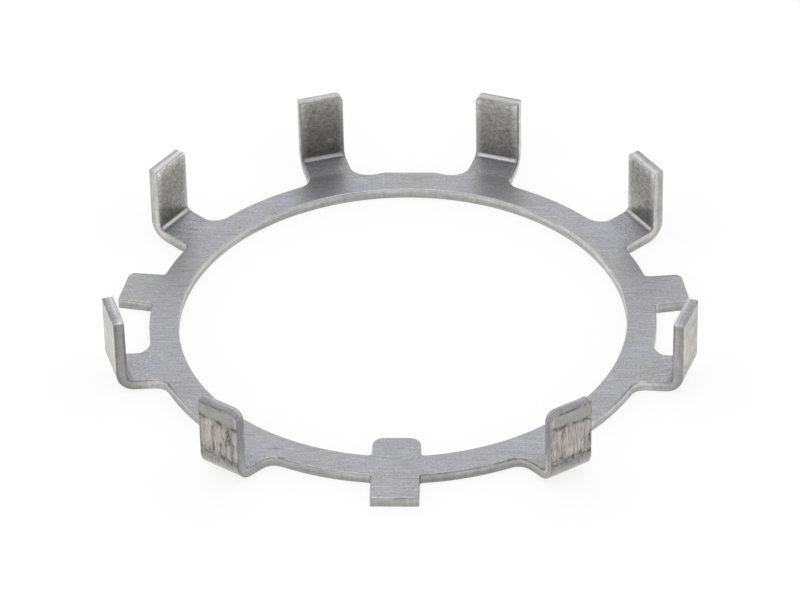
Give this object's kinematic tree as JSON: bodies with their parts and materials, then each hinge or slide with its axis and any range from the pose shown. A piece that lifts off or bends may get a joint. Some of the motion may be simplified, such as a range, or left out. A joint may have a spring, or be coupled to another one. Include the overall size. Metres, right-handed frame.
{
  "type": "tab lock washer",
  "caption": "Keyed lock washer stamped from sheet steel: a flat ring with a key across its bore and bent tabs around its rim that cage the flats of a large spindle nut.",
  "frame": {"origin": "on the axis of the bore, in the underside of the ring", "axes": "+Z along the bore axis, up the bent tabs; -Y along the middle of the key"},
  "size_m": [0.109, 0.1082, 0.0162],
  "materials": {
    "steel": "satin mill-rolled sheet with sheared edges and die-scuffed bends"
  },
  "bodies": {
    "root": {"lock_washer": "steel"}
  },
  "joints": []
}
